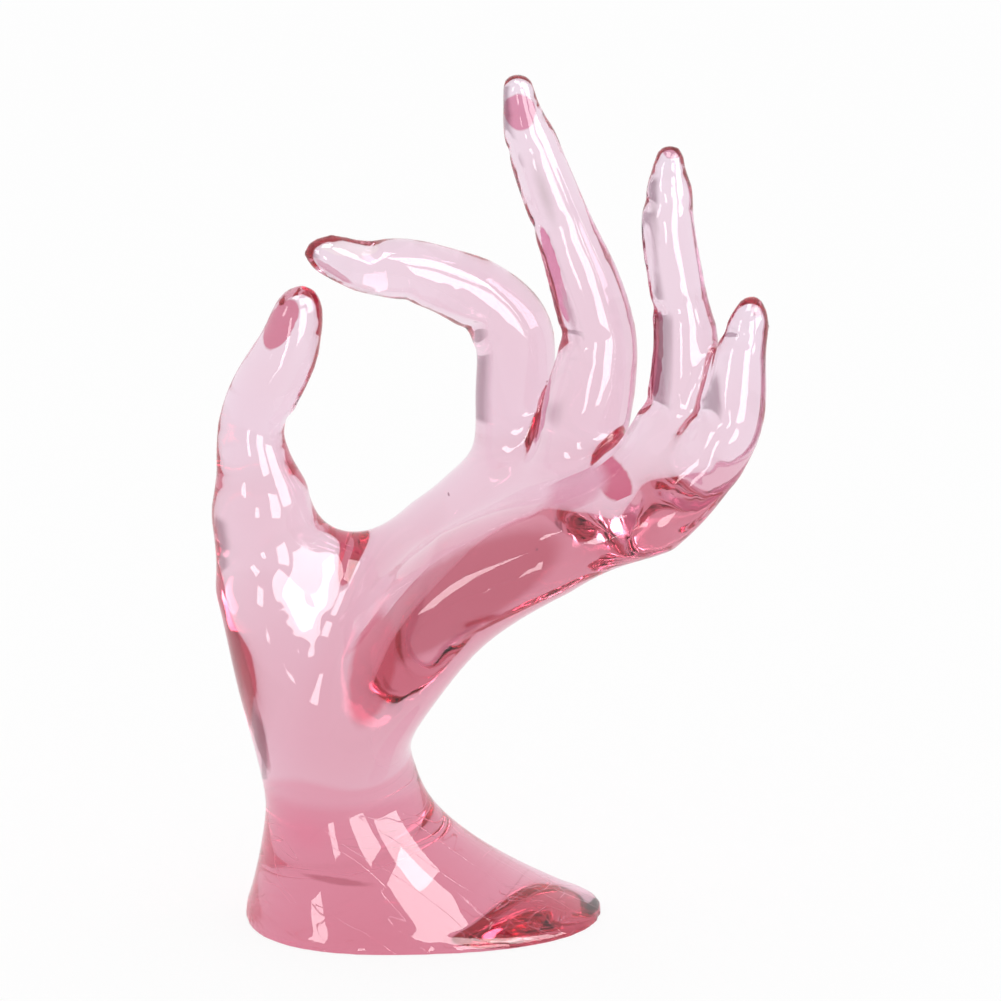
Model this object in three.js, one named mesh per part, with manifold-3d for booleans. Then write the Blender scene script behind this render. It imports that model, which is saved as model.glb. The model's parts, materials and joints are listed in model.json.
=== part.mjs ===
// A jewellery display cast in one piece in clear tinted resin. A left hand stands on its wrist,
// on a flared foot, and the tips of its thumb and index finger nearly close a ring.
// Rings slide down the fingers, and bracelets and chains hang over the hand.
// Sizes are millimetres, angles are degrees and +Z is up.
// The origin is the middle of the foot's flat underside. The palm faces -X, the foot's tail
// points to +X and the little finger is on the -Y side.
import * as THREE from "three";
import Module from "manifold-3d";

const wasm = await Module();
wasm.setup();

// The foot is an oval that flares out of the wrist: steep in front, with a long tail behind.
const FOOT_LENGTH = 69;
const FOOT_BREADTH = 52;
const FOOT_EGG = 0.1;
const FOOT_SQUARENESS = 2.4;
const FOOT_LIP = 2;
const FOOT_EDGE = 1;
const FLARE_HEIGHT = 29.4;
const FLARE_CURVE = 1.94;

// The wrist is an oval column that stands ahead of the foot's middle and ends in a dome.
const WRIST_DEPTH = 29;
const WRIST_BREADTH = 32;
const WRIST_SETBACK = 15.5;
const WRIST_TOP = 25;

// The forms of the palm, each along a few stations of a place and a half depth.
// The half breadth is PALM_BREADTH or THENAR_BREADTH times the half depth.
const PALM_BREADTH = 1.35;
const THENAR_BREADTH = 0.95;
const PALM_INWARD = [-0.65, -0.3, 0.7];
const THENAR_INWARD = [0.9, -0.1, 0.4];
const PALM_FORMS = {
  ulnar_edge: [
    [-15.6, -4, 39.3, 10.2], [-8.2, -6.5, 50, 10.2], [3.6, -9.5, 65.8, 9.5], [28.9, -14.5, 79, 7.9],
    [40.4, -16.5, 83, 7.2],
  ],
  ring_bone: [[-15, -2, 39.5, 9.6], [-3.6, -3, 52.4, 8.1], [11.6, -5, 66.6, 7.5], [38, -6.5, 84.2, 7.1]],
  middle_bone: [[-16.1, 2, 39, 9.8], [-5.6, 3.5, 52.2, 8.3], [7.8, 5.5, 65.8, 7.6], [28.6, 5.5, 85, 7.9]],
  index_bone: [[-17.2, 6, 37.3, 9.8], [-12.3, 9, 49.6, 9.3], [-4.6, 13, 61.5, 8.5], [17.5, 17, 83.5, 7.6]],
  thumb_bone: [[-20.5, 2, 33, 10.8], [-26.3, 4, 43.5, 11], [-29.7, 6, 60.6, 10.2], [-30.7, 6, 79.5, 8.3]],
  thumb_pad: [[-21, -4, 37, 9.5], [-25, -3.5, 49, 9.5], [-27.5, 0, 61, 8.8]],
  thumb_web: [[-30.3, 6, 76.5, 8], [-21.7, 8, 69, 7.2], [-11.2, 10.5, 66.9, 6.8], [1.3, 14, 69.3, 7]],
};

// The digits, each growing from the end of its palm form.
// A bone is a length, a heading up from +X, a lean towards +Y and the half depth at its far end.
const DIGIT_BREADTH = 1.04;
const DIGITS = {
  thumb: {
    root: "thumb_bone",
    inward: [0.8, 0.55, 0.1],
    bones: [
      [15.8, 97.5, 2, 6.1], [7, 67, 0, 6.5], [9.5, 62, -3, 5.9], [8.3, 72, -3, 4.3], [2.3, 77, -6, 2.8],
    ],
  },
  index_finger: {
    root: "index_bone",
    inward: [-0.8, -0.1, -0.6],
    bones: [
      [13.9, 90, 0, 7.5], [13.8, 91, -2, 7.6], [8.7, 131, -7, 7.3], [9, 151, -10, 6.3],
      [8.1, 163, -11, 5.9], [7.7, 173, -11, 4.9], [7.3, 161, -12, 3.5], [1.8, 159, -13, 2.6],
    ],
  },
  middle_finger: {
    root: "middle_bone",
    inward: [-0.94, -0.3, -0.1],
    bones: [
      [13.7, 78.5, 0, 8.5], [12.9, 80.5, 0, 7.4], [11, 102, -1, 6.9], [12.4, 110, -1, 5.7],
      [12.4, 111, -2, 5.2], [8.2, 110, -2, 4.3], [7.9, 101, -2, 2.9],
    ],
  },
  ring_finger: {
    root: "ring_bone",
    inward: [-0.94, -0.3, -0.1],
    bones: [
      [17.6, 58, -2, 6.7], [13.4, 80, 0, 6.3], [11.5, 98, 0, 5.3], [13.2, 99, 0, 5], [7.7, 90, 2, 3.8],
      [5, 87, 2, 2.6],
    ],
  },
  little_finger: {
    root: "ulnar_edge",
    inward: [-0.9, -0.3, 0.3],
    bones: [
      [7.3, 28, -4, 7.5], [10.7, 49, 0, 6.5], [9.5, 65, 3, 6.1], [11.5, 82, 5, 4.7], [6.6, 78, 4, 3.3],
      [2.3, 77, 7, 2.3],
    ],
  },
};

// A nail is a shallow oval plate on the back of a digit near its tip.
// Its length, width and thickness are in half depths of the digit there.
const NAIL_LENGTH = 3;
const NAIL_WIDTH = 1.5;
const NAIL_THICKNESS = 0.4;
const NAIL_RISE = 0.5;

// How softly the forms run into each other.
const PALM_BLEND = 6;
const DIGIT_BLEND = 3;
const NAIL_BLEND = 0.4;

// The casting is divided into foot, palm and digits at level planes.
// The fingers have parted at theirs, and the thumb stands ahead of THUMB_BACK.
const FOOT_TOP = 17;
const FINGER_PARTING = 96;
const THUMB_PARTING = 86;
const THUMB_BACK = -12;

// A digit takes the skin within REACH of it and keeps SEAM clear of the midline to its neighbour.
const REACH = 4;
const SEAM = 0.3;

// The steps of a spine between two stations, and how many of them lie between a nail and a tip.
const SPINE_STEPS = 6;
const NAIL_STEPS = 9;

// The size of the squares of the skin, and the corners of one section of the foot.
const DIGIT_GRID = 2;
const PALM_GRID = 2.84;
const FOOT_CORNERS = 60;
const FOOT_LEVELS = 8;

// The space that the skin is looked for in, round the spine of a digit and of the whole hand,
// and how far the palm's reaches past the planes that it is cut at.
const DIGIT_ROOM = 12;
const HAND_ROOM = 16;
const CUT_ROOM = 6;

const RESIN = new THREE.MeshStandardMaterial({
  color: 0xe8a9c3,
  roughness: 0.05,
  metalness: 0,
  transparent: true,
  opacity: 0.45,
});

const { clamp, degToRad, lerp } = THREE.MathUtils;
const point = (x = 0, y = 0, z = 0) => new THREE.Vector3(x, y, z);
const UP = point(0, 0, 1);

// A step of a length along a heading and a lean.
function stride(length, heading, lean) {
  const level = length * Math.cos(degToRad(lean));
  return point(
    level * Math.cos(degToRad(heading)),
    length * Math.sin(degToRad(lean)),
    level * Math.sin(degToRad(heading)),
  );
}

// A limb is a soft oval form along a smooth spine. Its rings carry the frame of each section:
// palmwards, across the palm and along the spine.
function limb(stations, inward, ratio, samples) {
  const spine = new THREE.CatmullRomCurve3(stations.map((s) => s.at), false, "centripetal");
  const girth = new THREE.SplineCurve(stations.map((s, n) => new THREE.Vector2(n, s.half)));
  const last = samples * (stations.length - 1);
  const rings = [];
  for (let i = 0; i <= last; i++) {
    const u = i / last;
    const depth = girth.getPoint(u).y;
    const along = spine.getTangent(u);
    const palmwards = inward.clone().addScaledVector(along, -along.dot(inward)).normalize();
    const across = point().crossVectors(along, palmwards);
    rings.push({ at: spine.getPoint(u), depth, along, palmwards, across });
  }
  return { rings, stations, field: limbField(rings, ratio) };
}

// The distance of a place from a limb's skin, negative inside it.
function limbField(rings, ratio) {
  const ball = new THREE.Box3().setFromPoints(rings.map((r) => r.at)).getBoundingSphere(new THREE.Sphere());
  const reach = ball.radius + Math.max(...rings.map((r) => r.depth)) * Math.max(ratio, 1);
  const spans = rings.slice(1).map((end, i) => {
    const start = rings[i];
    const way = point().subVectors(end.at, start.at);
    const width = Math.max(start.depth, end.depth) * Math.max(ratio, 1);
    return { start, end, way, square: way.lengthSq(), extent: way.length() + width };
  });
  const offset = point();
  return (p) => {
    const far = p.distanceTo(ball.center) - reach;
    if (far > 2 * PALM_BLEND) return far;
    let least = Infinity;
    for (const { start, end, way, square, extent } of spans) {
      offset.subVectors(p, start.at);
      if (offset.length() - extent > least) continue;
      const t = clamp(offset.dot(way) / square, 0, 1);
      offset.addScaledVector(way, -t);
      const inwards = lerp(offset.dot(start.palmwards), offset.dot(end.palmwards), t);
      const across = lerp(offset.dot(start.across), offset.dot(end.across), t) / ratio;
      const along = lerp(offset.dot(start.along), offset.dot(end.along), t);
      const distance = Math.sqrt(inwards * inwards + across * across + along * along);
      least = Math.min(least, distance - lerp(start.depth, end.depth, t));
    }
    return least;
  };
}

// A nail lies on the side of a ring that faces away from the palm.
function nailOn({ at, depth, along, palmwards, across }) {
  const thickness = depth * NAIL_THICKNESS + 2 * NAIL_RISE;
  const middle = at.clone().addScaledVector(palmwards, thickness - depth - NAIL_RISE);
  const offset = point();
  return (p) => {
    offset.subVectors(p, middle);
    const l = (2 * offset.dot(along)) / (NAIL_LENGTH * depth);
    const w = (2 * offset.dot(across)) / (NAIL_WIDTH * depth);
    const t = offset.dot(palmwards) / thickness;
    return ((Math.sqrt(l * l + w * w + t * t) - 1) * depth) / 2;
  };
}

const palmForms = Object.entries(PALM_FORMS).map(([name, places]) => {
  const stations = places.map(([x, y, z, half]) => ({ at: point(x, y, z), half }));
  return name.startsWith("thumb")
    ? limb(stations, point(...THENAR_INWARD), THENAR_BREADTH, SPINE_STEPS)
    : limb(stations, point(...PALM_INWARD), PALM_BREADTH, SPINE_STEPS);
});

const digits = Object.entries(DIGITS).map(([name, { root, inward, bones }]) => {
  const [x, y, z, half] = PALM_FORMS[root].at(-1);
  const stations = [{ at: point(x, y, z), half }];
  for (const [length, heading, lean, end] of bones) {
    const at = stations.at(-1).at.clone().add(stride(length, heading, lean));
    stations.push({ at, half: end });
  }
  const form = limb(stations, point(...inward), DIGIT_BREADTH, SPINE_STEPS);
  return { name, ...form, nail: nailOn(form.rings.at(-1 - NAIL_STEPS)) };
});

// The oval section of the foot and the wrist at a height.
function section(height) {
  const drop = clamp((FLARE_HEIGHT - height) / (FLARE_HEIGHT - FOOT_LIP), 0, 1);
  const spread = Math.pow(drop, FLARE_CURVE);
  const front = lerp(-WRIST_SETBACK - WRIST_DEPTH / 2, -FOOT_LENGTH / 2, spread);
  const tail = lerp(-WRIST_SETBACK + WRIST_DEPTH / 2, FOOT_LENGTH / 2, spread);
  return {
    middle: (front + tail) / 2,
    depth: (tail - front) / 2,
    breadth: lerp(WRIST_BREADTH, FOOT_BREADTH, spread) / 2,
    squareness: lerp(2, FOOT_SQUARENESS, spread),
  };
}

function column(p) {
  const { middle, depth, breadth, squareness } = section(p.z);
  const x = (p.x - middle) / depth;
  const y = p.y / (breadth * (1 - FOOT_EGG * x));
  const dome = Math.max(p.z - WRIST_TOP, 0) / breadth;
  const powers = Math.pow(Math.abs(x), squareness) + Math.pow(Math.abs(y), squareness);
  const level = Math.pow(powers, 1 / squareness);
  return (Math.hypot(level, dome) - 1) * Math.min(depth, breadth);
}

// Two forms run into each other within a distance.
function melt(a, b, distance) {
  const near = Math.max(distance - Math.abs(a - b), 0) / distance;
  return Math.min(a, b) - (near * near * distance) / 4;
}

// The whole hand's skin, as the distance of a place from it.
function skin(p) {
  let body = column(p);
  for (const { field } of palmForms) body = melt(body, field(p), PALM_BLEND);
  for (const { field, nail } of digits) {
    const own = field(p);
    body = melt(body, own < REACH ? melt(own, nail(p), NAIL_BLEND) : own, DIGIT_BLEND);
  }
  return body;
}

// The corners of a cell, its twelve edges, and its six faces with the edges round each.
const CORNERS = [[0, 0, 0], [1, 0, 0], [0, 1, 0], [1, 1, 0], [0, 0, 1], [1, 0, 1], [0, 1, 1], [1, 1, 1]];
const EDGES = CORNERS.flatMap(
  (from) => [0, 1, 2].filter((axis) => from[axis] === 0).map((axis) => ({ from, axis })),
);
const FACES = [0, 1, 2].flatMap((axis) => [0, 1].map((side) => {
  const [u, v] = [(axis + 1) % 3, (axis + 2) % 3];
  const ring = [[0, 0], [1, 0], [1, 1], [0, 1]].map(([a, b]) => corner([axis, side], [u, a], [v, b]));
  return { ring, sides: [edgeOf(ring[0], u), edgeOf(ring[1], v), edgeOf(ring[3], u), edgeOf(ring[0], v)] };
}));

function corner(...places) {
  const c = [0, 0, 0];
  for (const [axis, value] of places) c[axis] = value;
  return c;
}

function edgeOf(from, axis) {
  return EDGES.findIndex((e) => e.axis === axis && e.from.every((value, n) => value === from[n]));
}

// The edges of a cell that the skin crosses, in one group for each sheet of skin in the cell.
function sheets(isInside) {
  const group = EDGES.map((_, n) => n);
  const find = (n) => (group[n] === n ? n : find(group[n]));
  for (const { ring, sides } of FACES) {
    const inside = ring.map(isInside);
    const crossed = sides.filter((_, n) => inside[n] !== inside[(n + 1) % 4]);
    if (crossed.length === 2) group[find(crossed[0])] = find(crossed[1]);
    if (crossed.length < 4) continue;
    inside.forEach((within, n) => {
      if (within) group[find(sides[n])] = find(sides[(n + 3) % 4]);
    });
  }
  return find;
}

// A closed mesh of the places where a field is zero, inside a box. A cell of the grid has one
// vertex for each sheet of skin in it, and each crossed edge makes a square of its four cells.
function mesh(field, box, cell) {
  const size = box.getSize(point());
  const counts = [size.x, size.y, size.z].map((s) => Math.ceil(s / cell) + 3);
  const strides = [1, counts[0], counts[0] * counts[1]];
  const origin = box.min.clone().subScalar(cell);
  const values = new Float32Array(counts[0] * counts[1] * counts[2]);
  const everyPlace = (last, visit) => {
    for (let k = 0; k < counts[2] - last; k++)
      for (let j = 0; j < counts[1] - last; j++)
        for (let i = 0; i < counts[0] - last; i++) visit([i, j, k], i + strides[1] * j + strides[2] * k);
  };
  everyPlace(0, (place, here) => {
    const border = place.some((n, axis) => n === 0 || n === counts[axis] - 1);
    const at = point(...place).multiplyScalar(cell).add(origin);
    values[here] = border ? cell : field(at) || Number.EPSILON;
  });

  const vertices = [];
  const vertexOf = new Map();
  everyPlace(1, (place, here) => {
    const value = ([i, j, k]) => values[here + i + strides[1] * j + strides[2] * k];
    const isInside = (c) => value(c) < 0;
    const inside = CORNERS.filter(isInside).length;
    if (inside === 0 || inside === 8) return;
    const find = sheets(isInside);
    const sums = new Map();
    EDGES.forEach(({ from, axis }, n) => {
      const to = corner([0, from[0]], [1, from[1]], [2, from[2]], [axis, 1]);
      if (isInside(from) === isInside(to)) return;
      const sheet = find(n);
      if (!sums.has(sheet)) sums.set(sheet, { sum: point(), count: 0, id: vertices.length + sums.size });
      const entry = sums.get(sheet);
      entry.sum.add(point(...from).lerp(point(...to), value(from) / (value(from) - value(to))));
      entry.count += 1;
      vertexOf.set(here * EDGES.length + n, entry.id);
    });
    for (const { sum, count } of sums.values())
      vertices.push(sum.divideScalar(count).add(point(...place)).multiplyScalar(cell).add(origin));
  });

  const squares = [];
  everyPlace(1, (place, here) => {
    for (const axis of [0, 1, 2]) {
      const inside = values[here] < 0;
      if (inside === values[here + strides[axis]] < 0) continue;
      const [u, v] = [(axis + 1) % 3, (axis + 2) % 3];
      const square = [[1, 1], [0, 1], [0, 0], [1, 0]].map(([a, b]) => {
        const neighbour = here - a * strides[u] - b * strides[v];
        return vertexOf.get(neighbour * EDGES.length + edgeOf(corner([u, a], [v, b]), axis));
      });
      squares.push(inside ? square : square.reverse());
    }
  });
  settle(vertices, squares, field);
  return solid(vertices, squares.flatMap((square) => halves(square, vertices)));
}

// Cuts a square into two triangles along its shorter diagonal.
function halves([a, b, c, d], vertices) {
  const first = vertices[a].distanceTo(vertices[c]);
  const second = vertices[b].distanceTo(vertices[d]);
  return first < second ? [a, b, c, a, c, d] : [a, b, d, b, c, d];
}

// Evens out the squares, and moves their corners along the field's slope onto the skin.
function settle(vertices, squares, field, passes = 4, step = 0.02) {
  const neighbours = vertices.map(() => new Set());
  for (const square of squares) square.forEach((vertex, n) => {
    neighbours[vertex].add(square[(n + 1) % 4]).add(square[(n + 3) % 4]);
  });
  const slope = point();
  const probe = point();
  for (let pass = 0; pass < passes; pass++) {
    if (pass > 0 && pass < passes - 1) {
      const middles = neighbours.map((near) => {
        const sum = point();
        for (const n of near) sum.add(vertices[n]);
        return sum.divideScalar(near.size);
      });
      vertices.forEach((vertex, n) => vertex.lerp(middles[n], 0.5));
    }
    for (const vertex of vertices) {
      const value = field(vertex);
      for (const axis of ["x", "y", "z"]) {
        probe.copy(vertex)[axis] += step;
        slope[axis] = (field(probe) - value) / step;
      }
      const steepness = slope.lengthSq();
      if (steepness > 0.01) vertex.addScaledVector(slope, clamp(-value / steepness, -1, 1));
    }
  }
}

function solid(vertices, triangles) {
  const vertProperties = new Float32Array(vertices.flatMap((v) => v.toArray()));
  const triVerts = new Uint32Array(triangles);
  return new wasm.Manifold(new wasm.Mesh({ numProp: 3, vertProperties, triVerts }));
}

// A closed stack of rings of corners, from the bottom one up.
function stack(rings, hubs) {
  const corners = rings[0].length;
  const vertices = [...rings.flat(), ...hubs];
  const triangles = [];
  for (let i = 0; i < corners; i++) {
    const next = (i + 1) % corners;
    for (let level = 0; level < rings.length - 1; level++) {
      const [a, b] = [level * corners + i, level * corners + next];
      triangles.push(a, b, b + corners, a, b + corners, a + corners);
    }
    const top = (rings.length - 1) * corners;
    triangles.push(vertices.length - 2, next, i, vertices.length - 1, top + i, top + next);
  }
  return solid(vertices, triangles);
}

// The foot is a stack of its sections, with its lower edge rounded off.
function footSolid() {
  const steps = Array.from({ length: FOOT_LEVELS + 1 }, (_, n) => n / FOOT_LEVELS);
  const levels = steps.map((step) => lerp(FOOT_LIP, FOOT_TOP, step));
  const heights = [0, FOOT_EDGE / 3, FOOT_EDGE, ...levels];
  const rings = heights.map((height) => {
    const { middle, depth, breadth, squareness } = section(height);
    const rise = 1 - Math.min(height / FOOT_EDGE, 1);
    const tuck = FOOT_EDGE * (1 - Math.sqrt(1 - rise * rise));
    return Array.from({ length: FOOT_CORNERS }, (_, n) => {
      const angle = (2 * Math.PI * n) / FOOT_CORNERS;
      const [x, y] = [Math.cos(angle), Math.sin(angle)].map(
        (c) => Math.sign(c) * Math.pow(Math.abs(c), 2 / squareness),
      );
      return point(middle + (depth - tuck) * x, (breadth - tuck) * (1 - FOOT_EGG * x) * y, height);
    });
  });
  return stack(rings, [0, FOOT_TOP].map((height) => point(section(height).middle, 0, height)));
}

// A block from a corner on, along all three axes.
function block(low, high) {
  const plan = [[low.x, low.y], [high.x, low.y], [high.x, high.y], [low.x, high.y]];
  const ring = (z) => plan.map(([x, y]) => point(x, y, z));
  const hub = (z) => point((low.x + high.x) / 2, (low.y + high.y) / 2, z);
  return stack([ring(low.z), ring(high.z)], [hub(low.z), hub(high.z)]);
}

// A box around everything that the hand reaches, with room to spare.
const ROOM = new THREE.Box3().setFromPoints(
  [...palmForms, ...digits].flatMap(({ stations }) => stations.map((s) => s.at)),
).expandByScalar(HAND_ROOM);
const above = (height, back = ROOM.max.x) => block(
  point(ROOM.min.x, ROOM.min.y, height),
  point(back, ROOM.max.y, ROOM.max.z),
);

function palmSolid() {
  const low = ROOM.min.clone().setZ(FOOT_TOP - CUT_ROOM);
  const high = ROOM.max.clone().setZ(FINGER_PARTING + CUT_ROOM);
  const box = new THREE.Box3(low, high);
  return mesh(skin, box, PALM_GRID)
    .intersect(above(FOOT_TOP))
    .subtract(above(FINGER_PARTING))
    .subtract(above(THUMB_PARTING, THUMB_BACK));
}

// A digit is the skin past its parting that is nearer to it than to its neighbours.
function digitSolid({ name, field, stations }) {
  const others = digits.filter((other) => other.name !== name);
  const box = new THREE.Box3().setFromPoints(stations.slice(1).map((s) => s.at)).expandByScalar(DIGIT_ROOM);
  const own = (p) => {
    const distance = field(p);
    return Math.max(skin(p), distance - REACH, ...others.map((other) => distance - other.field(p) + SEAM));
  };
  return mesh(own, box, DIGIT_GRID).intersect(above(name === "thumb" ? THUMB_PARTING : FINGER_PARTING));
}

const hand = new THREE.Group();
hand.name = "hand_display";
function add(name, shape) {
  const { vertProperties, triVerts } = shape.getMesh();
  const geometry = new THREE.BufferGeometry();
  geometry.setAttribute("position", new THREE.BufferAttribute(vertProperties, 3));
  geometry.setIndex(new THREE.BufferAttribute(triVerts, 1));
  geometry.computeVertexNormals();
  const piece = new THREE.Mesh(geometry, RESIN.clone());
  piece.name = name;
  hand.add(piece);
}

add("foot", footSolid());
add("palm", palmSolid());
for (const digit of digits) add(digit.name, digitSolid(digit));

export default hand;
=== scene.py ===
import json
import math

import bpy
import numpy as np
from bpy.props import FloatProperty, FloatVectorProperty, IntProperty, PointerProperty
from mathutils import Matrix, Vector

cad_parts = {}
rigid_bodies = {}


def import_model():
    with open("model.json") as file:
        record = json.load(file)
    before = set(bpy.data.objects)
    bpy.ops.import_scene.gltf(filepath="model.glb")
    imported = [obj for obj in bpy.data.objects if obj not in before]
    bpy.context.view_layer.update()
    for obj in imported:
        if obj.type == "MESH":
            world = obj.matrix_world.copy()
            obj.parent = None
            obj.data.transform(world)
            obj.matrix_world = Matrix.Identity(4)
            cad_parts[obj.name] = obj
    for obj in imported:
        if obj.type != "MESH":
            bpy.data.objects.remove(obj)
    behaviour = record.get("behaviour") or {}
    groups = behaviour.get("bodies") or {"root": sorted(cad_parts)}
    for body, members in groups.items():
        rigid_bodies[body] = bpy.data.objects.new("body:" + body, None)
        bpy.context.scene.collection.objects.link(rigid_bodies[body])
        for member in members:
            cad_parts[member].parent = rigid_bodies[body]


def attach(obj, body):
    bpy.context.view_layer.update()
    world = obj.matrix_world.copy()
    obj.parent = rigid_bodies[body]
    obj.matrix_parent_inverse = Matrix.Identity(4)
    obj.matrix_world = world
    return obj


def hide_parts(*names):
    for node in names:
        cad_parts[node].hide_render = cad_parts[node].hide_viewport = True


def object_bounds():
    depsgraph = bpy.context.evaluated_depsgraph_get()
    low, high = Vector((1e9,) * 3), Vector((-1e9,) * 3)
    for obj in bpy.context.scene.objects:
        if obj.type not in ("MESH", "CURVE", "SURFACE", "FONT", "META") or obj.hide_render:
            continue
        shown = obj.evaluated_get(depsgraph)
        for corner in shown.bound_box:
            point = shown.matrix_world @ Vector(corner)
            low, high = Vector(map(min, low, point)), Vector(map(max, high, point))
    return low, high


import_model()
CAD_LOW, CAD_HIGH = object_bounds()
REGIONS = ["foot", "palm", "thumb", "index_finger", "middle_finger", "ring_finger", "little_finger"]

bl_info = {
    "name": "Resin Hand Display",
    "version": (1, 0, 0),
    "blender": (4, 5, 0),
    "location": "View3D > Sidebar > Resin Hand",
    "description": "Makes a clear cast hand for showing rings, and its studio",
    "category": "Object",
}


class HandCastingSettings(bpy.types.PropertyGroup):
    mesh_size: FloatProperty(
        name="Mesh Size", description="Size of the squares of the skin",
        default=0.00076, unit="LENGTH", subtype="DISTANCE",
    )
    evening: IntProperty(
        name="Evening", description="Rounds of smoothing that take the facets away", default=260,
    )
    foot_slimming: FloatProperty(
        name="Foot Slimming", description="Share of its depth that the foot loses at the back",
        default=0.3, min=0, max=1, subtype="FACTOR",
    )
    foot_height: FloatProperty(
        name="Foot Height", description="Height up to which the foot is slimmed",
        default=0.028, unit="LENGTH", subtype="DISTANCE",
    )
    foot_cut: FloatProperty(
        name="Foot Cut", description="Height at which the underside is cut level",
        default=0.0011, unit="LENGTH", subtype="DISTANCE",
    )
    holding: FloatProperty(
        name="Holding", description="How strongly each round swells the form back", default=0.912,
    )


class HandCarvingSettings(bpy.types.PropertyGroup):
    pad_turn: FloatProperty(
        name="Pad Turn", description="How far the flat pads turn to the camera's side",
        default=math.radians(30), unit="ROTATION", subtype="ANGLE",
    )
    crease_depth: FloatProperty(
        name="Crease Depth", description="Depth of the creases at the joints",
        default=0.0004, unit="LENGTH", subtype="DISTANCE",
    )
    crease_width: FloatProperty(
        name="Crease Width", description="Half width of the creases at the joints",
        default=0.0012, unit="LENGTH", subtype="DISTANCE",
    )
    softening: IntProperty(
        name="Softening", description="Rounds of smoothing after the carving", default=30,
    )


class HandResinSettings(bpy.types.PropertyGroup):
    tint: FloatVectorProperty(
        name="Tint", description="What is left of white light after one tint depth",
        size=3, default=(0.855, 0.425, 0.51), min=0, max=1, subtype="COLOR",
    )
    skin: FloatVectorProperty(
        name="Skin", description="What the skin leaves of white light that goes in and out",
        size=3, default=(0.93, 0.87, 0.965), min=0, max=1, subtype="COLOR",
    )
    # Painted shade: the deeper tint of the foot below the foot line stands in for its thickness and
    # total internal reflection.
    foot_painted_shade: FloatVectorProperty(
        name="Foot Painted Shade", description="What the skin of the foot leaves of white light",
        size=3, default=(0.87, 0.55, 0.68), min=0, max=1, subtype="COLOR",
    )
    foot_line: FloatProperty(
        name="Foot Line", description="Height at which the deeper tint of the foot begins",
        default=0.026, unit="LENGTH", subtype="DISTANCE",
    )
    clouding: FloatProperty(
        name="Clouding", description="How much the skin's tint changes from place to place",
        default=0.5, min=0, max=1, subtype="FACTOR",
    )
    ripple: FloatProperty(
        name="Ripple", description="Height of the gentle ripples that polishing leaves",
        default=0.00004, unit="LENGTH", subtype="DISTANCE",
    )
    scratch: FloatProperty(
        name="Scratch", description="Height of the fine flow lines in the foot",
        default=0.00002, unit="LENGTH", subtype="DISTANCE",
    )
    tint_density: FloatProperty(
        name="Tint Density", description="Tint depths in one metre of resin", default=40,
    )
    refraction: FloatProperty(
        name="Refraction", description="Index of refraction of the resin", default=1.5,
    )
    polish: FloatProperty(
        name="Polish", description="Roughness of the polished skin",
        default=0.03, min=0, max=1, subtype="FACTOR",
    )


class HandStageSettings(bpy.types.PropertyGroup):
    camera_distance: FloatProperty(
        name="Camera Distance", description="From the camera to the place that it aims at",
        default=0.9, unit="LENGTH", subtype="DISTANCE",
    )
    camera_rise: FloatProperty(
        name="Camera Rise", description="Angle that the camera looks down by",
        default=math.radians(15), unit="ROTATION", subtype="ANGLE",
    )
    camera_lens: FloatProperty(
        name="Lens", description="Focal length in millimetres", default=170.25,
    )
    aim: FloatVectorProperty(
        name="Aim", description="The place that the camera looks at",
        size=3, default=(0.01492, 0, 0.08208), unit="LENGTH", subtype="XYZ",
    )
    lamp_glow: FloatProperty(
        name="Lamp Glow", description="Radiance of the softboxes", default=8,
    )
    # Painted shade: the grey card is a sector of the floor behind the hand that only rays through the
    # resin see.
    shade_card_near: FloatProperty(
        name="Shade Card Near", description="From the hand to the near edge of the grey card behind it",
        default=0.3, unit="LENGTH", subtype="DISTANCE",
    )
    shade_card_far: FloatProperty(
        name="Shade Card Far", description="From the hand to the far edge of the grey card",
        default=0.9, unit="LENGTH", subtype="DISTANCE",
    )
    shade_card_turn: FloatProperty(
        name="Shade Card Turn", description="Turn of the grey card from straight behind the hand",
        default=math.radians(52), unit="ROTATION", subtype="ANGLE",
    )
    shade_card_width: FloatProperty(
        name="Shade Card Width", description="Angle that the grey card spans",
        default=math.radians(40), unit="ROTATION", subtype="ANGLE",
    )
    shade_card_colour: FloatVectorProperty(
        name="Shade Card Colour", description="Colour of the grey card",
        size=3, default=(0.45, 0.37, 0.41), min=0, max=1, subtype="COLOR",
    )


# Common steps

# Leaves edit mode and selects nothing.
def deselect_all():
    if bpy.context.mode != "OBJECT":
        bpy.ops.object.mode_set(mode="OBJECT")
    bpy.ops.object.select_all(action="DESELECT")


# The way from the aim back to the camera.
def camera_side(stage):
    return Vector((0, -math.cos(stage.camera_rise), math.sin(stage.camera_rise)))


# Adds a node and sets its own values.
def node(tree, kind, **values):
    made = tree.nodes.new(kind)
    for name, value in values.items():
        setattr(made, name, value)
    return made


# Adds a math node whose sockets take links or plain numbers, and gives its output.
def maths(tree, operation, *values):
    made = node(tree, "ShaderNodeMath", operation=operation)
    for socket, value in zip(made.inputs, values):
        if isinstance(value, (int, float)):
            socket.default_value = value
        else:
            tree.links.new(value, socket)
    return made.outputs[0]


# The product of two links or numbers.
def times(tree, first, second):
    return maths(tree, "MULTIPLY", first, second)


# A soft step from 0 at the first value to 1 at the second.
def step(tree, value, start, end):
    ramp = node(tree, "ShaderNodeMapRange", interpolation_type="SMOOTHSTEP")
    ramp.inputs["From Min"].default_value = min(start, end)
    ramp.inputs["From Max"].default_value = max(start, end)
    ramp.inputs["To Min"].default_value = 0 if start < end else 1
    ramp.inputs["To Max"].default_value = 1 if start < end else 0
    tree.links.new(value, ramp.inputs["Value"])
    return ramp.outputs["Result"]


# Splits a vector into its three numbers.
def split(tree, vector):
    parts = node(tree, "ShaderNodeSeparateXYZ")
    tree.links.new(vector, parts.inputs[0])
    return parts.outputs


# The length of a vector.
def length_of(tree, vector):
    length = node(tree, "ShaderNodeVectorMath", operation="LENGTH")
    tree.links.new(vector, length.inputs[0])
    return length.outputs["Value"]


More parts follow.
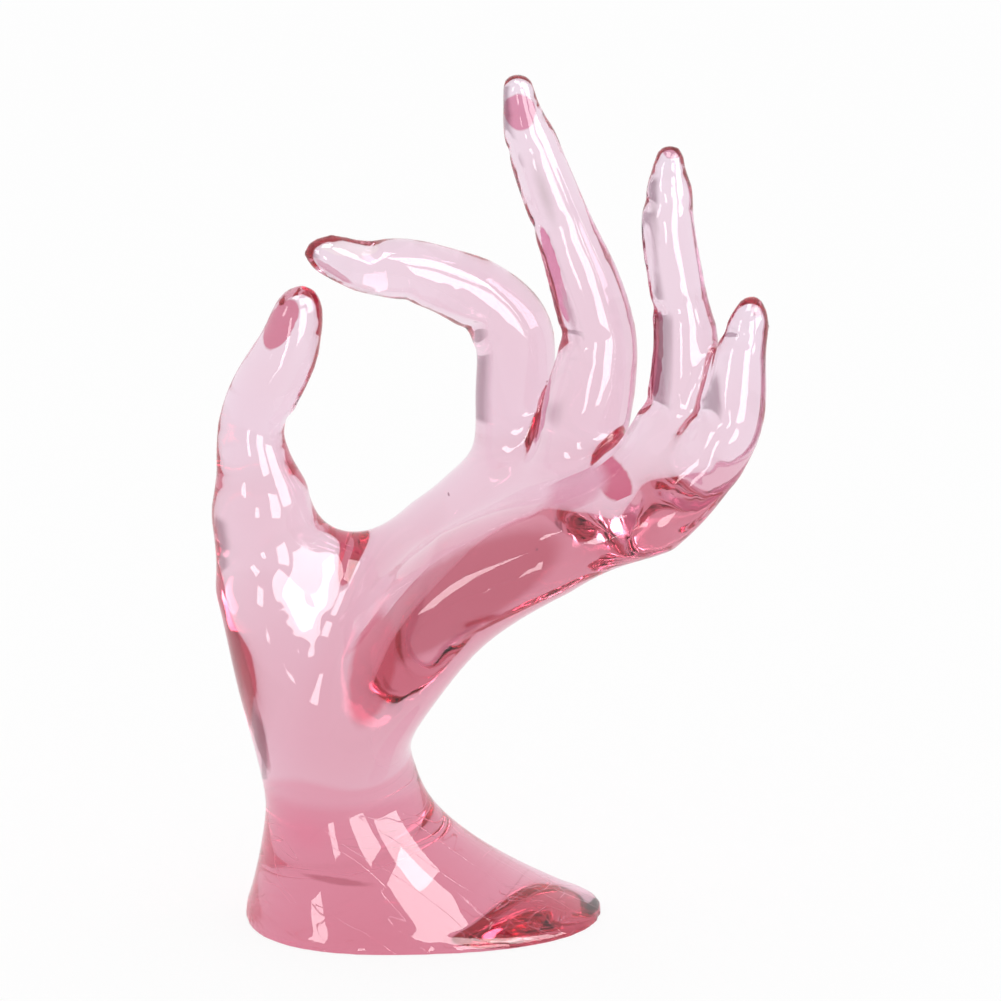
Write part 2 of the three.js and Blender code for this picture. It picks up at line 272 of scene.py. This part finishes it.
# A noise texture in features per metre.
def noise(tree, vector, scale, detail):
    texture = node(tree, "ShaderNodeTexNoise")
    texture.inputs["Scale"].default_value = scale
    texture.inputs["Detail"].default_value = detail
    tree.links.new(vector, texture.inputs["Vector"])
    return texture.outputs


# Mixes a plain colour over what is below it, by a mask.
def over(tree, below, colour, mask):
    mix = node(tree, "ShaderNodeMix", data_type="RGBA")
    if isinstance(below, tuple):
        mix.inputs["A"].default_value = (*below, 1)
    else:
        tree.links.new(below, mix.inputs["A"])
    mix.inputs["B"].default_value = (*colour, 1)
    tree.links.new(mask, mix.inputs["Factor"])
    return mix.outputs["Result"]


# Adds the sockets of a node group, each given by a name and a kind.
def add_sockets(tree, way, sockets):
    for name, kind in sockets:
        tree.interface.new_socket(name, in_out=way, socket_type="NodeSocket" + kind)


# The resin

# Features per metre of the ripples, of the clouds in the tint and of the wandering edges.
RIPPLE_SCALE = 60
CLOUD_SCALE = 35
WANDER_SCALE = 500

# The noise values between which a cloud sets in, and the power that deepens the skin in it.
CLOUD_START = 0.4
CLOUD_END = 0.7
CLOUD_POWER = 1.4

# The lean and the length, depth and spacing of the flow lines in the foot, the half width of a
# line in noise values, and the heights between which the lines fade out.
FLOW_LEAN = math.radians(35)
FLOW_SIZES = (0.05, 0.01, 0.004)
FLOW_WIDTH = 0.006
FLOW_FADE = (0.03, 0.02)

# Half the height over which the painted shade of the foot sets in.
FOOT_LINE_EDGE = 0.0015

# How far a patch reaches through the skin, and how far its edge wanders.
PATCH_DEPTH = 0.006
PATCH_WANDER = 0.0006

# Painted light and shade: patches of the skin that look deeper or paler, standing in for total
# internal reflection, grey shade and one highlight, as places in the upright plane through the middle
# of the
# foot, as the camera sees it: how far to the right and up, the half width and half length of the patch
# in metres, its lean to the right in degrees, the share of softness at its edge and its colour.
PAINTED_LIGHT_PATCHES = {
    "thumb_tip": (-0.0262, 0.1126, 0.0026, 0.0057, 30, 0.12, (0.52, 0.09, 0.16)),
    "middle_tip": (0.0188, 0.1518, 0.0033, 0.0036, -15, 0.15, (0.60, 0.13, 0.25)),
    "ring_tip": (0.0473, 0.1450, 0.0021, 0.0016, 0, 0.2, (0.55, 0.16, 0.27)),
    "little_tip": (0.0637, 0.1157, 0.0017, 0.0017, 0, 0.4, (0.70, 0.35, 0.47)),
    "index_tip": (-0.0209, 0.1269, 0.0013, 0.0020, 25, 0.3, (0.60, 0.22, 0.33)),
    "index_under": (-0.0162, 0.1225, 0.0008, 0.0049, -55, 0.3, (0.62, 0.30, 0.40)),
    "index_nail": (-0.0137, 0.1277, 0.0065, 0.0019, 10, 0.1, (1.0, 1.0, 1.0)),
    "middle_wedge": (0.0255, 0.1218, 0.0013, 0.0104, -15, 0.1, (0.58, 0.11, 0.25)),
    "middle_base": (0.0230, 0.0969, 0.0010, 0.0078, 11, 0.15, (0.56, 0.18, 0.31)),
    "ring_wedge": (0.0447, 0.1071, 0.0011, 0.0089, 3, 0.1, (0.34, 0.08, 0.14)),
    "palm_wedge": (-0.0337, 0.0433, 0.0018, 0.0173, -15, 0.1, (0.55, 0.30, 0.38)),
    "web": (0.0365, 0.0838, 0.0042, 0.0030, 30, 0.2, (0.52, 0.05, 0.12)),
    "web_haze": (0.0297, 0.0819, 0.0076, 0.0030, -27, 0.5, (0.70, 0.36, 0.50)),
    "ulnar_band": (0.0063, 0.0604, 0.0266, 0.0076, -32, 0.25, (0.58, 0.26, 0.33)),
    "ulnar": (-0.0095, 0.0467, 0.0048, 0.0125, 12, 0.3, (0.66, 0.18, 0.26)),
    "foot_band": (-0.0225, 0.0151, 0.0095, 0.0055, 0, 1, (0.90, 0.42, 0.58)),
    "foot_crescent": (-0.0165, 0.0056, 0.0082, 0.0008, 5, 0.5, (0.50, 0.20, 0.27)),
    "middle_shade": (0.0282, 0.1150, 0.0012, 0.0080, -15, 1, (0.40, 0.25, 0.32)),
    "middle_upper_shade": (0.0234, 0.1368, 0.0017, 0.0095, -18, 1, (0.60, 0.56, 0.59)),
    "ring_shade": (0.0440, 0.1336, 0.0012, 0.0110, -3, 1, (0.58, 0.50, 0.56)),
    "little_crease": (0.0587, 0.1107, 0.0017, 0.0005, -18, 0.4, (0.30, 0.20, 0.27)),
    "speck_high": (0.0053, 0.0809, 0.0003, 0.0003, 0, 0.5, (0.25, 0.15, 0.20)),
    "speck_right": (0.0221, 0.0702, 0.0003, 0.0003, 0, 0.5, (0.25, 0.15, 0.20)),
    "speck_low": (-0.0084, 0.0433, 0.0003, 0.0003, 0, 0.5, (0.25, 0.15, 0.20)),
}


# The mask of an oval patch of painted light and shade on the skin: its centre, turn and half sizes,
# and how soft its edge is.
def painted_patch_group():
    tree = bpy.data.node_groups.new("resin_painted_patch", "ShaderNodeTree")
    places = ("Vector", "Centre", "Turn", "Half Sizes")
    add_sockets(tree, "INPUT", [*((name, "Vector") for name in places), ("Softness", "Float")])
    add_sockets(tree, "OUTPUT", [("Mask", "Float")])
    enter = node(tree, "NodeGroupInput")
    local = node(tree, "ShaderNodeMapping", vector_type="TEXTURE")
    for name, socket in zip(places, local.inputs):
        tree.links.new(enter.outputs[name], socket)
    flat = node(tree, "ShaderNodeVectorMath", operation="MULTIPLY")
    flat.inputs[1].default_value = (1, 0, 1)
    tree.links.new(local.outputs[0], flat.inputs[0])
    edge = step(tree, length_of(tree, flat.outputs[0]), 1, 0)
    tree.links.new(maths(tree, "SUBTRACT", 1, enter.outputs["Softness"]), edge.node.inputs["From Min"])
    deep = maths(tree, "ABSOLUTE", split(tree, local.outputs[0])["Y"])
    leave = node(tree, "NodeGroupOutput")
    tree.links.new(times(tree, edge, maths(tree, "LESS_THAN", deep, 1)), leave.inputs["Mask"])
    return tree


# The skin's relief: gentle ripples all over, and fine flow lines low down in the foot.
def relief_group():
    tree = bpy.data.node_groups.new("resin_relief", "ShaderNodeTree")
    add_sockets(tree, "INPUT", [("Vector", "Vector"), ("Ripple", "Float"), ("Scratch", "Float")])
    add_sockets(tree, "OUTPUT", [("Height", "Float")])
    enter = node(tree, "NodeGroupInput")
    ripple = noise(tree, enter.outputs["Vector"], RIPPLE_SCALE, 0)["Fac"]
    stretch = node(tree, "ShaderNodeMapping", vector_type="TEXTURE")
    stretch.inputs["Rotation"].default_value = (0, FLOW_LEAN, 0)
    stretch.inputs["Scale"].default_value = FLOW_SIZES
    tree.links.new(enter.outputs["Vector"], stretch.inputs["Vector"])
    flow = noise(tree, stretch.outputs[0], 1, 1)["Fac"]
    ridge = maths(tree, "ABSOLUTE", maths(tree, "SUBTRACT", flow, 0.5))
    low = step(tree, split(tree, enter.outputs["Vector"])["Z"], *FLOW_FADE)
    line = times(tree, step(tree, ridge, FLOW_WIDTH, 0), low)
    total = maths(
        tree, "ADD",
        times(tree, ripple, enter.outputs["Ripple"]), times(tree, line, enter.outputs["Scratch"]),
    )
    leave = node(tree, "NodeGroupOutput")
    tree.links.new(total, leave.inputs["Height"])
    return tree


# The place of the skin that the camera sees at a place in the upright plane.
def seen_place(hand, stage, across, up):
    eye = Vector(stage.aim) + camera_side(stage) * stage.camera_distance
    target = Vector((across, 0, up / math.cos(stage.camera_rise)))
    hit, place, _, _ = hand.ray_cast(eye, (target - eye).normalized())
    if not hit:
        raise RuntimeError("a patch misses the hand: " + str((across, up)))
    return place


# The colour of the skin: its tint and clouds, the painted shade of the foot, and the patches of
# painted light and shade, which stay fixed to the hand.
def skin_tint_and_painted_light(tree, hand, look, stage):
    places = node(tree, "ShaderNodeTexCoord").outputs["Object"]
    shift = node(tree, "ShaderNodeVectorMath", operation="MULTIPLY_ADD")
    shift.inputs[1].default_value = (PATCH_WANDER, 0, PATCH_WANDER)
    tree.links.new(noise(tree, places, WANDER_SCALE, 1)["Color"], shift.inputs[0])
    tree.links.new(places, shift.inputs[2])

    clouds = step(tree, noise(tree, places, CLOUD_SCALE, 2)["Fac"], CLOUD_START, CLOUD_END)
    cloudy = tuple(value ** CLOUD_POWER for value in look.skin)
    skin = over(tree, tuple(look.skin), cloudy, times(tree, clouds, look.clouding))
    # Painted shade: the foot below the foot line takes its deeper tint.
    low = step(
        tree, split(tree, places)["Z"],
        look.foot_line + FOOT_LINE_EDGE, look.foot_line - FOOT_LINE_EDGE,
    )
    colour = over(tree, skin, look.foot_painted_shade, low)
    group = painted_patch_group()
    # Each patch mixes its colour of painted light and shade over the skin.
    for across, up, width, length, lean, softness, painted_colour in PAINTED_LIGHT_PATCHES.values():
        patch = node(tree, "ShaderNodeGroup", node_tree=group)
        tree.links.new(shift.outputs[0], patch.inputs["Vector"])
        patch.inputs["Centre"].default_value = seen_place(hand, stage, across, up)
        patch.inputs["Turn"].default_value = (0, math.radians(lean), 0)
        patch.inputs["Half Sizes"].default_value = (width, PATCH_DEPTH, length)
        patch.inputs["Softness"].default_value = softness
        colour = over(tree, colour, painted_colour, patch.outputs["Mask"])
    return colour


# Clear resin that tints what passes through it, under a polished skin.
def resin_material(hand, look, stage):
    material = bpy.data.materials.new("pink_resin")
    material.use_nodes = True
    tree = material.node_tree
    shader = tree.nodes["Principled BSDF"]
    tree.links.new(skin_tint_and_painted_light(tree, hand, look, stage), shader.inputs["Base Color"])

    relief = node(tree, "ShaderNodeGroup", node_tree=relief_group())
    tree.links.new(node(tree, "ShaderNodeTexCoord").outputs["Object"], relief.inputs["Vector"])
    relief.inputs["Ripple"].default_value = look.ripple
    relief.inputs["Scratch"].default_value = look.scratch
    bump = node(tree, "ShaderNodeBump")
    bump.inputs["Distance"].default_value = 1
    tree.links.new(relief.outputs["Height"], bump.inputs["Height"])
    tree.links.new(bump.outputs["Normal"], shader.inputs["Normal"])

    shader.inputs["Transmission Weight"].default_value = 1
    shader.inputs["IOR"].default_value = look.refraction
    shader.inputs["Roughness"].default_value = look.polish
    volume = node(tree, "ShaderNodeVolumeAbsorption")
    volume.inputs["Color"].default_value = (*look.tint, 1)
    volume.inputs["Density"].default_value = look.tint_density
    tree.links.new(volume.outputs["Volume"], tree.nodes["Material Output"].inputs["Volume"])
    return material


# The casting

# For each digit the way that its palm side faces, the distances of its creases from its tip, and
# the heights of the pads between them in half depths of the digit. A flat nail has its nearest and
# furthest distance from the tip, its height in half depths and the way that it faces.
DIGITS = {
    "thumb": {"palm": (0.8, 0.55, 0.1), "creases": (0.0255,), "pads": (0.95,)},
    "index_finger": {
        "palm": (-0.8, -0.1, -0.6), "creases": (0.022, 0.0385), "pads": (1, 0.9),
        "nail": (0.001, 0.0145, 0.89, (0.0, -0.42, 0.91)),
    },
    "middle_finger": {
        "palm": (-0.94, -0.3, -0.1), "creases": (0.0145, 0.0295, 0.0525), "pads": (0.95, 0.88, 0.8),
    },
    "ring_finger": {
        "palm": (-0.94, -0.3, -0.1), "creases": (0.012, 0.0305, 0.0515), "pads": (0.95, 0.88, 0.8),
    },
    "little_finger": {"palm": (-0.9, -0.3, 0.3), "creases": (0.009, 0.025), "pads": (0.95, 0.95)},
}

# Where the forms sink into each other: a place, a radius and the rounds of smoothing.
SOFT_PLACES = [
    ((-0.012, -0.006, 0.070), 0.017, 400),
    ((-0.013, 0.008, 0.070), 0.016, 400),
    ((-0.028, 0.012, 0.046), 0.022, 900),
    ((0.034, -0.018, 0.080), 0.013, 300),
    ((0.047, -0.014, 0.090), 0.013, 300),
    ((0.048, -0.002, 0.083), 0.010, 150),
]

# The way away from the camera, and half the thickness of the slice that finds a digit's middle.
BEHIND = np.array((0.0, 1.0, 0.0))
RING = 0.0022

# How strongly each round of evening smooths, before it swells the form back.
EVENING_PULL = 0.9

# Where the first pad starts from the tip, how far past a digit's half depth a pad may reach, and
# the share of a pad's half length over which it is pressed fully.
FIRST_PAD = 0.004
PAD_REACH = 1.3
PAD_CORE = 0.75

# How far a crease reaches from the digit's middle, how many half widths it takes to run out, and
# how it fades round the digit: the start behind the side and the breadth, as cosines.
CREASE_REACH = 0.011
CREASE_SPAN = 4
CREASE_START = 0.2
CREASE_FADE = 0.7

# The least length that anything is divided by.
TINY = 1e-6

# How near points merge in the joined solids and at the level cut, and where shading has an edge.
JOIN_GAP = 1e-6
CUT_GAP = 1e-7
SHARP_ANGLE = math.radians(40)


# The points of a mesh.
def points_of(mesh):
    points = np.empty(len(mesh.vertices) * 3)
    mesh.vertices.foreach_get("co", points)
    return points.reshape(-1, 3)


# Puts changed points back into the hand.
def set_points(hand, skin):
    hand.data.vertices.foreach_set("co", skin.ravel())
    hand.data.update()


# Smooths the skin and swells it back by turns, so that facets go and the form stays.
def even_out(hand, rounds, holding):
    for _ in range(rounds):
        for factor in (EVENING_PULL, -holding):
            smooth = hand.modifiers.new("Evening", "SMOOTH")
            smooth.factor = factor
            smooth.iterations = 1
            bpy.ops.object.modifier_apply(modifier=smooth.name)


# The middle of a digit and the way along it, at a distance from its tip.
def section(corners, tip, distance):
    away = np.linalg.norm(corners - tip, axis=1)

    def middle(reach):
        ring = corners[np.abs(away - reach) < RING]
        return (ring.min(axis=0) + ring.max(axis=0)) / 2

    along = middle(distance + RING) - middle(max(distance - RING, RING))
    return middle(distance), along / np.linalg.norm(along)


# The part of a way that is square to another.
def square_to(way, along):
    rest = way - along * (way @ along)
    return rest / np.linalg.norm(rest)


# Presses what stands beyond a plane onto it, over a length to each side of the plane's middle.
def press(skin, middle, along, facing, height, length, reach):
    facing = facing / np.linalg.norm(facing)
    offset = skin - middle
    beyond = offset @ facing - height
    run = offset @ along
    aside = np.linalg.norm(offset - np.outer(run, along), axis=1)
    run = np.abs(run) / length
    near = (beyond > 0) & (run < 1) & (aside < reach)
    hold = 1 - np.clip((run[near] - PAD_CORE) / (1 - PAD_CORE), 0, 1) ** 2
    skin[near] -= np.outer(beyond[near] * hold, facing)


# Presses a flat place round a section, at a height in half depths of the digit.
def flatten(skin, corners, middle, along, facing, height, length):
    offset = corners - middle
    half = (offset[np.abs(offset @ along) < RING] @ facing).max()
    press(skin, middle, along, facing, half * height, length, half * PAD_REACH)


# Draws a crease across the side of a digit that faces a way.
def crease(skin, middle, along, facing, depth, width):
    offset = skin - middle
    run = offset @ along
    out = offset - np.outer(run, along)
    size = np.linalg.norm(out, axis=1)
    out /= np.maximum(size, TINY)[:, None]
    side = np.clip((out @ facing + CREASE_START) / CREASE_FADE, 0, 1)
    near = (np.abs(run) < CREASE_SPAN * width) & (size < CREASE_REACH)
    sink = depth * np.exp(-((run[near] / width) ** 2)) * side[near]
    skin[near] -= out[near] * sink[:, None]


# Gives each digit its pads and creases, and the index finger its nail.
def carve(hand, look):
    skin = points_of(hand.data)
    for name, digit in DIGITS.items():
        corners = points_of(bpy.data.objects[name].data)
        root = corners[corners[:, 2] < corners[:, 2].min() + RING].mean(axis=0)
        tip = corners[np.argmax(np.linalg.norm(corners - root, axis=1))]
        palm = np.array(digit["palm"])
        turned = square_to(palm, BEHIND) * math.cos(look.pad_turn) - BEHIND * math.sin(look.pad_turn)
        stops = (FIRST_PAD, *digit["creases"])
        flats = [(*pad, turned) for pad in zip(stops, stops[1:], digit["pads"])]
        if "nail" in digit:
            flats.append(digit["nail"])
        for low, high, height, way in flats:
            middle, along = section(corners, tip, (low + high) / 2)
            facing = square_to(np.array(way), along)
            flatten(skin, corners, middle, along, facing, height, (high - low) / 2)
        for distance in digit["creases"]:
            middle, along = section(corners, tip, distance)
            facing = square_to(palm, along)
            crease(skin, middle, along, facing, look.crease_depth, look.crease_width)
    set_points(hand, skin)


# Lets the skin near a place sink into an even form.
def soften(hand, middle, radius, rounds):
    away = np.linalg.norm(points_of(hand.data) - np.array(middle), axis=1)
    group = hand.vertex_groups.new(name="soft")
    for index in np.flatnonzero(away < radius):
        group.add([int(index)], float(1 - (away[index] / radius) ** 2), "REPLACE")
    smooth = hand.modifiers.new("Soften", "SMOOTH")
    smooth.factor = 1
    smooth.iterations = rounds
    smooth.vertex_group = group.name
    bpy.ops.object.modifier_apply(modifier=smooth.name)
    hand.vertex_groups.clear()


# Makes the foot shallower at the back, more so the lower down.
def slim_foot(hand, share, height):
    skin = points_of(hand.data)
    low = np.clip(1 - skin[:, 2] / height, 0, 1)
    skin[:, 1] *= 1 - share * (skin[:, 1] > 0) * low * low * (3 - 2 * low)
    set_points(hand, skin)


# Cuts the underside level, draws the foot down again by what was cut, and keeps the hand within
# the box of its solids.
def level_foot(hand, cut, height):
    bpy.ops.object.mode_set(mode="EDIT")
    bpy.ops.mesh.select_all(action="SELECT")
    bpy.ops.mesh.bisect(
        plane_co=(0, 0, cut), plane_no=(0, 0, 1), use_fill=True, clear_inner=True, threshold=CUT_GAP,
    )
    bpy.ops.object.mode_set(mode="OBJECT")
    skin = points_of(hand.data)
    skin[:, 2] -= cut * np.clip((height - skin[:, 2]) / (height - cut), 0, 1)
    set_points(hand, np.clip(skin, np.array(CAD_LOW), np.array(CAD_HIGH)))


class OBJECT_OT_cast_hand(bpy.types.Operator):
    """Join the regions of the hand into one smooth casting of clear resin"""

    bl_idname = "object.cast_hand"
    bl_label = "Cast Hand"

    def execute(self, context):
        casting = context.scene.hand_casting
        carving = context.scene.hand_carving
        deselect_all()
        for name in REGIONS:
            bpy.data.objects[name].select_set(True)
        context.view_layer.objects.active = bpy.data.objects[REGIONS[0]]
        bpy.ops.object.duplicate()
        bpy.ops.object.join()
        hand = context.view_layer.objects.active
        hand.name = hand.data.name = "cast_hand"
        bpy.ops.object.mode_set(mode="EDIT")
        bpy.ops.mesh.select_all(action="SELECT")
        bpy.ops.mesh.remove_doubles(threshold=JOIN_GAP)
        bpy.ops.object.mode_set(mode="OBJECT")
        remesh = hand.modifiers.new("Skin", "REMESH")
        remesh.mode = "VOXEL"
        remesh.voxel_size = casting.mesh_size
        bpy.ops.object.modifier_apply(modifier=remesh.name)
        even_out(hand, casting.evening, casting.holding)
        for middle, radius, rounds in SOFT_PLACES:
            soften(hand, middle, radius, rounds)
        slim_foot(hand, casting.foot_slimming, casting.foot_height)
        carve(hand, carving)
        even_out(hand, carving.softening, casting.holding)
        level_foot(hand, casting.foot_cut, casting.foot_height)
        bpy.ops.object.shade_smooth_by_angle(angle=SHARP_ANGLE)
        hand.data.materials.clear()
        context.view_layer.update()
        resin = resin_material(hand, context.scene.hand_resin, context.scene.hand_stage)
        hand.data.materials.append(resin)
        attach(hand, "root")
        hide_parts(*REGIONS)
        return {"FINISHED"}


# The studio

# The floor's size, how far it lies under the foot, its paint, and the share of its look that is
# plain white.
FLOOR_SIZE = 6
FLOOR_GAP = 0.0002
FLOOR_PAINT = (0.9, 0.9, 0.9, 1)
FLOOR_ROUGHNESS = 0.8
FLOOR_GLOW = 0.85

# The soft edges of the grey card of painted shade on the floor: at its sides, and as a share of its
# distances.
SHADE_CARD_EDGE = math.radians(11)
SHADE_CARD_FADE = 0.15

# The softboxes, all at one distance from the aim: turn from the front to the right and angle
# above the aim in degrees, width and height in metres, and whether clear resin shows them.
SOFTBOX_DISTANCE = 0.8
SOFTBOXES = {
    "finger_strip": (26, 4, 0.33, 0.62, False),
    "right_window": (64, 30, 0.52, 0.58, True),
    "upper_window": (40, 48, 0.56, 0.36, False),
    "left_strip": (-13, -8, 0.11, 0.50, False),
    "left_window": (-45, 24, 0.16, 0.30, False),
    "top_light": (-20, 68, 0.35, 0.35, True),
}

# The camera's sensor in millimetres, how far it sees, and how often light may pass and bounce.
SENSOR_WIDTH = 36
VIEW_END = 50
CLEAR_BOUNCES = 32
GLOSSY_BOUNCES = 12


# An even white world.
def studio_world():
    world = bpy.data.worlds.new("studio")
    world.use_nodes = True
    bpy.context.scene.world = world
    background = world.node_tree.nodes["Background"]
    background.inputs["Color"].default_value = (1, 1, 1, 1)
    background.inputs["Strength"].default_value = 1


# The mask of the grey card of painted shade: a sector of the floor between two distances and two turns
# from +Y.
def shade_card_mask(tree, stage):
    coords = node(tree, "ShaderNodeTexCoord").outputs["Object"]
    place = split(tree, coords)
    angle = maths(tree, "ARCTAN2", place["X"], place["Y"])
    aside = maths(tree, "ABSOLUTE", maths(tree, "SUBTRACT", angle, stage.shade_card_turn))
    distance = length_of(tree, coords)
    half = stage.shade_card_width / 2
    near = stage.shade_card_near
    far = stage.shade_card_far
    sides = step(tree, aside, half + SHADE_CARD_EDGE, half - SHADE_CARD_EDGE)
    begins = step(tree, distance, near * (1 - SHADE_CARD_FADE), near * (1 + SHADE_CARD_FADE))
    ends = step(tree, distance, far * (1 + SHADE_CARD_FADE), far * (1 - SHADE_CARD_FADE))
    return times(tree, times(tree, sides, begins), ends)


# A floor that looks white to the camera and through the resin, where the grey card of painted shade
# shows to rays through the resin.
def white_floor(stage):
    material = bpy.data.materials.new("white_floor")
    material.use_nodes = True
    tree = material.node_tree
    paint = tree.nodes["Principled BSDF"]
    paint.inputs["Base Color"].default_value = FLOOR_PAINT
    paint.inputs["Roughness"].default_value = FLOOR_ROUGHNESS
    ray = node(tree, "ShaderNodeLightPath").outputs
    # Painted shade: rays through the resin see the card's grey on the floor.
    through = times(tree, shade_card_mask(tree, stage), ray["Is Transmission Ray"])
    glow = node(tree, "ShaderNodeEmission")
    tree.links.new(over(tree, (1, 1, 1), stage.shade_card_colour, through), glow.inputs["Color"])
    seen = maths(tree, "MAXIMUM", ray["Is Camera Ray"], ray["Is Transmission Ray"])
    mix = node(tree, "ShaderNodeMixShader")
    tree.links.new(times(tree, seen, FLOOR_GLOW), mix.inputs[0])
    tree.links.new(paint.outputs[0], mix.inputs[1])
    tree.links.new(glow.outputs[0], mix.inputs[2])
    tree.links.new(mix.outputs[0], tree.nodes["Material Output"].inputs["Surface"])
    return material


# A softbox that faces the aim.
def softbox(name, azimuth, height_angle, width, height, through, stage):
    turn = math.radians(azimuth)
    rise = math.radians(height_angle)
    flat = math.cos(rise)
    way = Vector((math.sin(turn) * flat, -math.cos(turn) * flat, math.sin(rise)))
    bpy.ops.object.light_add(type="AREA", location=Vector(stage.aim) + way * SOFTBOX_DISTANCE)
    lamp = bpy.context.active_object
    lamp.name = name
    lamp.rotation_euler = (-way).to_track_quat("-Z", "Y").to_euler()
    lamp.data.shape = "RECTANGLE"
    lamp.data.size = width
    lamp.data.size_y = height
    lamp.data.energy = stage.lamp_glow * math.pi * width * height
    lamp.visible_camera = False
    lamp.visible_diffuse = False
    lamp.visible_transmission = through


class OBJECT_OT_set_stage(bpy.types.Operator):
    """Set up the white floor, the soft lights and the camera"""

    bl_idname = "object.set_hand_stage"
    bl_label = "Set Stage"

    def execute(self, context):
        scene = context.scene
        stage = scene.hand_stage
        deselect_all()
        bpy.ops.mesh.primitive_plane_add(size=FLOOR_SIZE, location=(0, 0, -FLOOR_GAP))
        floor = context.active_object
        floor.name = "floor"
        floor.data.materials.append(white_floor(stage))
        studio_world()
        for name, values in SOFTBOXES.items():
            softbox(name, *values, stage)

        back = camera_side(stage)
        bpy.ops.object.camera_add(location=Vector(stage.aim) + back * stage.camera_distance)
        camera = context.active_object
        camera.rotation_euler = (-back).to_track_quat("-Z", "Y").to_euler()
        camera.data.lens = stage.camera_lens
        camera.data.sensor_width = SENSOR_WIDTH
        camera.data.clip_end = VIEW_END
        scene.camera = camera
        scene.view_settings.view_transform = "Standard"
        scene.cycles.max_bounces = CLEAR_BOUNCES
        scene.cycles.transmission_bounces = CLEAR_BOUNCES
        scene.cycles.glossy_bounces = GLOSSY_BOUNCES
        return {"FINISHED"}


# The panel

class VIEW3D_PT_resin_hand(bpy.types.Panel):
    bl_label = "Resin Hand"
    bl_space_type = "VIEW_3D"
    bl_region_type = "UI"
    bl_category = "Resin Hand"

    def draw(self, context):
        for operator, groups in STEPS.items():
            for group in groups:
                settings = getattr(context.scene, group)
                for name in settings.bl_rna.properties.keys():
                    if name not in ("rna_type", "name"):
                        self.layout.prop(settings, name)
            self.layout.operator(operator.bl_idname)


# Each operator, and the groups of settings that the panel lists above it.
STEPS = {
    OBJECT_OT_cast_hand: ("hand_casting", "hand_carving", "hand_resin"),
    OBJECT_OT_set_stage: ("hand_stage",),
}
GROUPS = {
    "hand_casting": HandCastingSettings,
    "hand_carving": HandCarvingSettings,
    "hand_resin": HandResinSettings,
    "hand_stage": HandStageSettings,
}
CLASSES = [*GROUPS.values(), *STEPS, VIEW3D_PT_resin_hand]


def register():
    for made in CLASSES:
        bpy.utils.register_class(made)
    for name, group in GROUPS.items():
        setattr(bpy.types.Scene, name, PointerProperty(type=group))


def unregister():
    for name in GROUPS:
        delattr(bpy.types.Scene, name)
    for made in reversed(CLASSES):
        bpy.utils.unregister_class(made)


def main():
    register()
    bpy.ops.object.cast_hand()
    bpy.ops.object.set_hand_stage()


if __name__ == "__main__":
    main()
